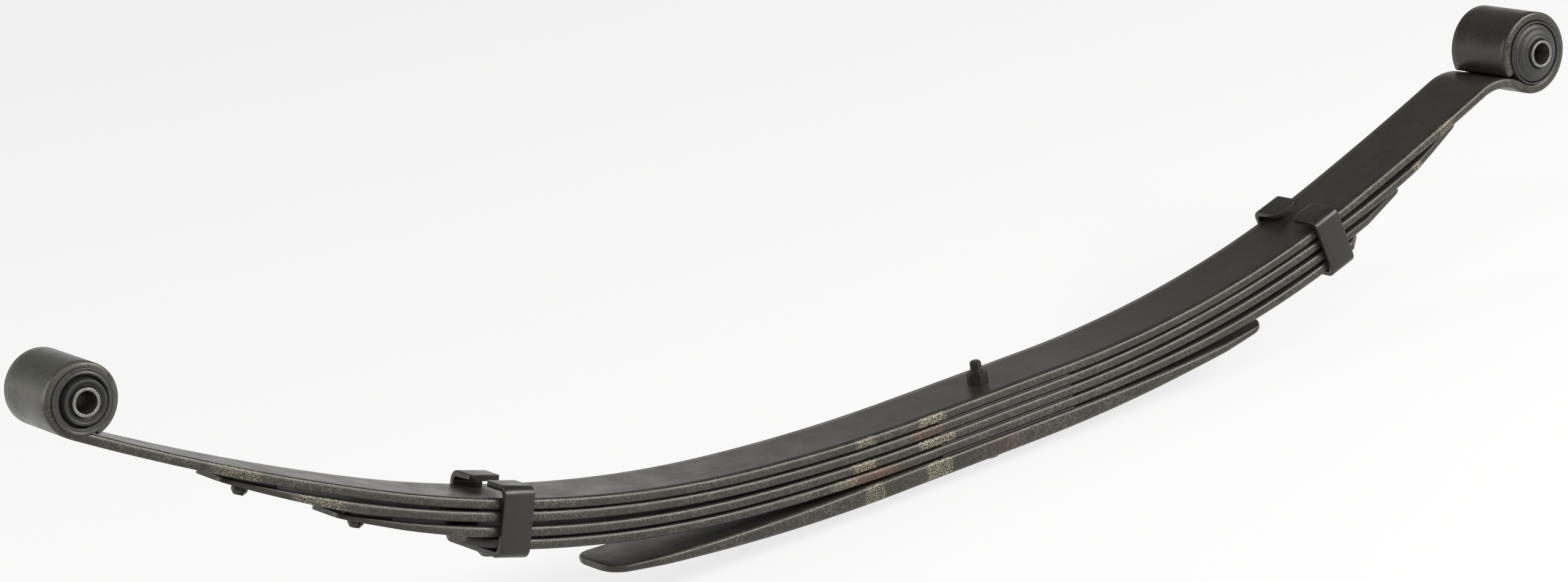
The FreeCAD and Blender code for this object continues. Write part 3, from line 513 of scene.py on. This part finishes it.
# Worn patch: grains inside a ragged stretch of Reach each way from Middle, along the leaf
wornPatch, given, made = newGroup("wornPatch", ["Place", "Station", "Middle", "Reach", "Cloud", "Fill"],
                                  ["Mask"])
away = maths(wornPatch, "ABSOLUTE", maths(wornPatch, "SUBTRACT", given["Station"], given["Middle"]))
ragged = maths(wornPatch, "ADD", maths(wornPatch, "DIVIDE", away, given["Reach"]),
               ramp(wornPatch, given["Cloud"], 0.0, 1.0, -0.35, 0.35))
speckle = noise(wornPatch, given["Place"], 850, 4, 0.7)
grains = ramp(wornPatch, maths(wornPatch, "ADD", speckle, given["Fill"]), 0.515, 0.575)
connect(wornPatch, made["Mask"], maths(wornPatch, "MULTIPLY", ramp(wornPatch, ragged, 1.0, 0.75), grains))


warmGloss = (1.0, 0.955, 0.87, 1)  # reflections lean slightly brown


def finish(name, colour, rough, scale=45.0, depth=0.0006, metal=0.0, spread=(0.8, 1.25), rubAndSheen=0.0, patches=(),
           chips=0.0):
    # Colour and gloss follow the cloud; worn patches (from, to, tint, amount, near side only) lie over them
    material = bpy.data.materials.new(name)
    material.use_nodes = True
    tree = material.node_tree
    shader = tree.nodes["Principled BSDF"]
    place = put(tree, "ShaderNodeTexCoord").outputs["Object"]
    cloudy, height = effect(tree, grain, [("Place", place), ("Scale", scale)])
    shade = blendColour(tree, cloudy, *((*[c * level for c in colour], 1) for level in spread))
    gloss = ramp(tree, cloudy, 0.0, 1.0, rough - 0.05, rough + 0.07)
    if rubAndSheen:
        along = put(tree, "ShaderNodeUVMap", uv_map="along").outputs[0]
        spot = put(tree, "ShaderNodeSeparateXYZ", [(0, along)])
        station, across = spot.outputs[0], spot.outputs[1]
        mask = effect(tree, edgeWearAndSheen, [("Place", place), ("Across", across)])[0]
        # The rounded edges are lightened towards grey-beige: partly worn paint, partly a painted highlight
        shade = blendColour(tree, maths(tree, "MULTIPLY", mask, rubAndSheen), shade, (0.13, 0.125, 0.105, 1))
        near = ramp(tree, across, -0.0296, -0.0304)
        for start, end, tint, amount, nearOnly in patches:
            sockets = [("Place", place), ("Station", station), ("Middle", (start + end) / 2),
                       ("Reach", (end - start) / 2), ("Cloud", cloudy), ("Fill", 0.0 if nearOnly else 0.12)]
            mask = effect(tree, wornPatch, sockets)[0]
            mask = maths(tree, "MULTIPLY", mask, near) if nearOnly else mask
            shade = blendColour(tree, maths(tree, "MULTIPLY", mask, amount), shade, (*tint, 1))
    if chips:
        pits = ramp(tree, noise(tree, place, 150, 3, 0.5), 0.645, 0.67)
        shade = blendColour(tree, maths(tree, "MULTIPLY", pits, chips), shade, (0.004, 0.004, 0.004, 1))
    connect(tree, shader.inputs["Base Color"], shade)
    connect(tree, shader.inputs["Roughness"], gloss)
    shader.inputs["Metallic"].default_value = metal
    shader.inputs["Specular Tint"].default_value = warmGloss
    bump = put(tree, "ShaderNodeBump", [("Strength", 0.35), ("Distance", depth), ("Height", height)])
    connect(tree, shader.inputs["Normal"], bump.outputs[0])
    return material


# Worn patches of each leaf: from, to (stations along the leaf, rear negative), tint, amount, near edge only
cream, rust, dust = (0.50, 0.44, 0.29), (0.22, 0.075, 0.03), (0.062, 0.064, 0.050)
black = (0.0215, 0.0195, 0.0155)
worn = {
    "main": [(-0.083, -0.057, cream, 0.85, True), (-0.140, -0.122, cream, 0.65, True),
             (-0.68, -0.64, cream, 0.4, True), (0.475, 0.49, cream, 0.5, True),
             (-0.94, -0.79, dust, 0.9, False)],
    "second": [(-0.09, -0.06, rust, 0.6, True), (-0.635, -0.57, cream, 0.5, True),
               (0.44, 0.45, cream, 0.6, True)],
    "third": [(-0.083, -0.05, cream, 0.8, True), (-0.150, -0.125, cream, 0.7, True),
              (0.41, 0.415, cream, 0.6, True)],
    "fourth": [(-0.155, -0.105, rust, 0.8, True), (-0.165, -0.14, cream, 0.4, True)],
    "overload": [(-0.083, -0.057, cream, 0.8, True), (-0.140, -0.120, cream, 0.6, True),
                 (-0.02, 0.01, rust, 0.3, True)],
}
# The rub amount lightens the rounded leaf edges: partly worn paint, partly a painted highlight
for leaf, (name, patches) in zip(leaves, worn.items()):
    leaf.data.materials.append(finish(name + "_leaf_paint", black, 0.34, rubAndSheen=0.6, patches=patches,
                                      chips=0.6 if name == "main" else 0.0))

clipPaint = finish("clip_paint", (0.013, 0.0128, 0.012), 0.30, 60.0, 0.0004)
rubber = finish("bushing_rubber", (0.022, 0.023, 0.022), 0.46, 160.0, 0.0003)
rim = finish("bushing_rim", (0.05, 0.05, 0.046), 0.34, 200.0, 0.0002, 0.3)
steel = finish("sleeve_steel", (0.22, 0.215, 0.20), 0.30, 220.0, 0.0001, 0.9)
boltSteel = finish("bolt_steel", (0.016, 0.015, 0.014), 0.40, 260.0, 0.0001, 0.2)
shimSteel = finish("shim_steel", (0.03, 0.029, 0.027), 0.50, 200.0, 0.0001, 0.2)
plastic = finish("pad_plastic", (0.012, 0.012, 0.012), 0.45, 200.0, 0.0001)
for material, slot, pieces in (
        (clipPaint, "clip_paint", clips), (rim, "can_steel", cans), (rubber, "bushing_rubber", rubbers),
        (steel, "sleeve_steel", sleeves), (boltSteel, "bolt_steel", [boltSurface, nutSurface])):
    for piece in pieces:
        piece.data.materials.append(material)
shown = {"shim": shimSteel, "pad": plastic, "rivet": clipPaint}  # modelled parts that show as they are
for name, node in nodes.items():
    for word, material in shown.items():
        if word in name:
            node.material_slots[0].material = material
print("finishes")

# Camera: place in metres, turn in degrees
view = {"place": (-1.89293, -2.62576, 1.06917), "turn": (73.8679, 8.5169, -35.8513), "lens": 102.383}
cameraData = bpy.data.cameras.new("camera")
cameraData.lens = view["lens"]
cameraData.sensor_width = 36
cameraData.clip_end = 80
camera = bpy.data.objects.new("camera", cameraData)
camera.location = view["place"]
camera.rotation_euler = [math.radians(angle) for angle in view["turn"]]
bpy.context.scene.collection.objects.link(camera)
bpy.context.scene.camera = camera

# Floor: pale, just under the lowest point; white to the eye and in reflections, with a soft shadow
floorPlan = {"size": 30.0, "drop": 0.0005, "shadow": 0.22}
floorMesh = bpy.data.meshes.new("floor")
floorMesh.from_pydata([(x * floorPlan["size"], y * floorPlan["size"], cadBox[0].z - floorPlan["drop"])
                       for x, y in ((-1, -1), (1, -1), (1, 1), (-1, 1))], [], [(0, 1, 2, 3)])
floor = bpy.data.objects.new("floor", floorMesh)
bpy.context.scene.collection.objects.link(floor)
floorPaint = bpy.data.materials.new("floor_paint")
floorPaint.use_nodes = True
tree = floorPaint.node_tree
tree.nodes.clear()
rays = put(tree, "ShaderNodeLightPath").outputs
looked = maths(tree, "MAXIMUM", maths(tree, "MAXIMUM", rays["Is Camera Ray"], rays["Is Glossy Ray"]),
               rays["Is Transmission Ray"])
matt = put(tree, "ShaderNodeBsdfDiffuse", [("Color", (0.9, 0.9, 0.89, 1))]).outputs[0]
white = put(tree, "ShaderNodeEmission", [("Color", (1, 1, 1, 1)), ("Strength", 1.0)]).outputs[0]
pale = put(tree, "ShaderNodeMixShader",
           [(0, maths(tree, "MULTIPLY", looked, 1 - floorPlan["shadow"])), (1, matt), (2, white)]).outputs[0]
under = put(tree, "ShaderNodeNewGeometry").outputs["Backfacing"]
clear = put(tree, "ShaderNodeBsdfTransparent").outputs[0]
whole = put(tree, "ShaderNodeMixShader", [(0, under), (1, pale), (2, clear)]).outputs[0]
put(tree, "ShaderNodeOutputMaterial", [("Surface", whole)])
floorMesh.materials.append(floorPaint)

# World: white round the horizon, soft grey overhead
world = bpy.data.worlds.new("studio")
bpy.context.scene.world = world
world.use_nodes = True
tree = world.node_tree
tree.nodes.clear()
direction = put(tree, "ShaderNodeTexCoord").outputs["Generated"]
height = put(tree, "ShaderNodeSeparateXYZ", [(0, direction)]).outputs[2]
sky = put(tree, "ShaderNodeBackground", [("Color", (1, 0.99, 0.97, 1)),
                                         ("Strength", ramp(tree, height, 0.10, 0.32, 1.0, 0.24))]).outputs[0]
put(tree, "ShaderNodeOutputWorld", [("Surface", sky)])


# Softboxes: place, aim, (width, height) and watts
softboxes = {
    "key": ((1.6, -2.0, 1.55), (0, 0, 0.1), (2.6, 0.9), 80),
    "fill": ((-1.1, -1.5, 2.2), (0, 0, 0.1), (2.2, 0.9), 22),
    "rim": ((-2.6, 1.4, 1.3), (-0.2, 0, 0.1), (0.8, 2.0), 25),
}
for name, (place, aim, (width, height), power) in softboxes.items():
    data = bpy.data.lights.new(name, "AREA")
    data.shape, data.size, data.size_y, data.energy = "RECTANGLE", width, height, power
    lamp = bpy.data.objects.new(name, data)
    lamp.location = place
    lamp.rotation_euler = (Vector(aim) - Vector(place)).to_track_quat("-Z", "Y").to_euler()
    bpy.context.scene.collection.objects.link(lamp)

bpy.context.scene.view_settings.view_transform = "Standard"
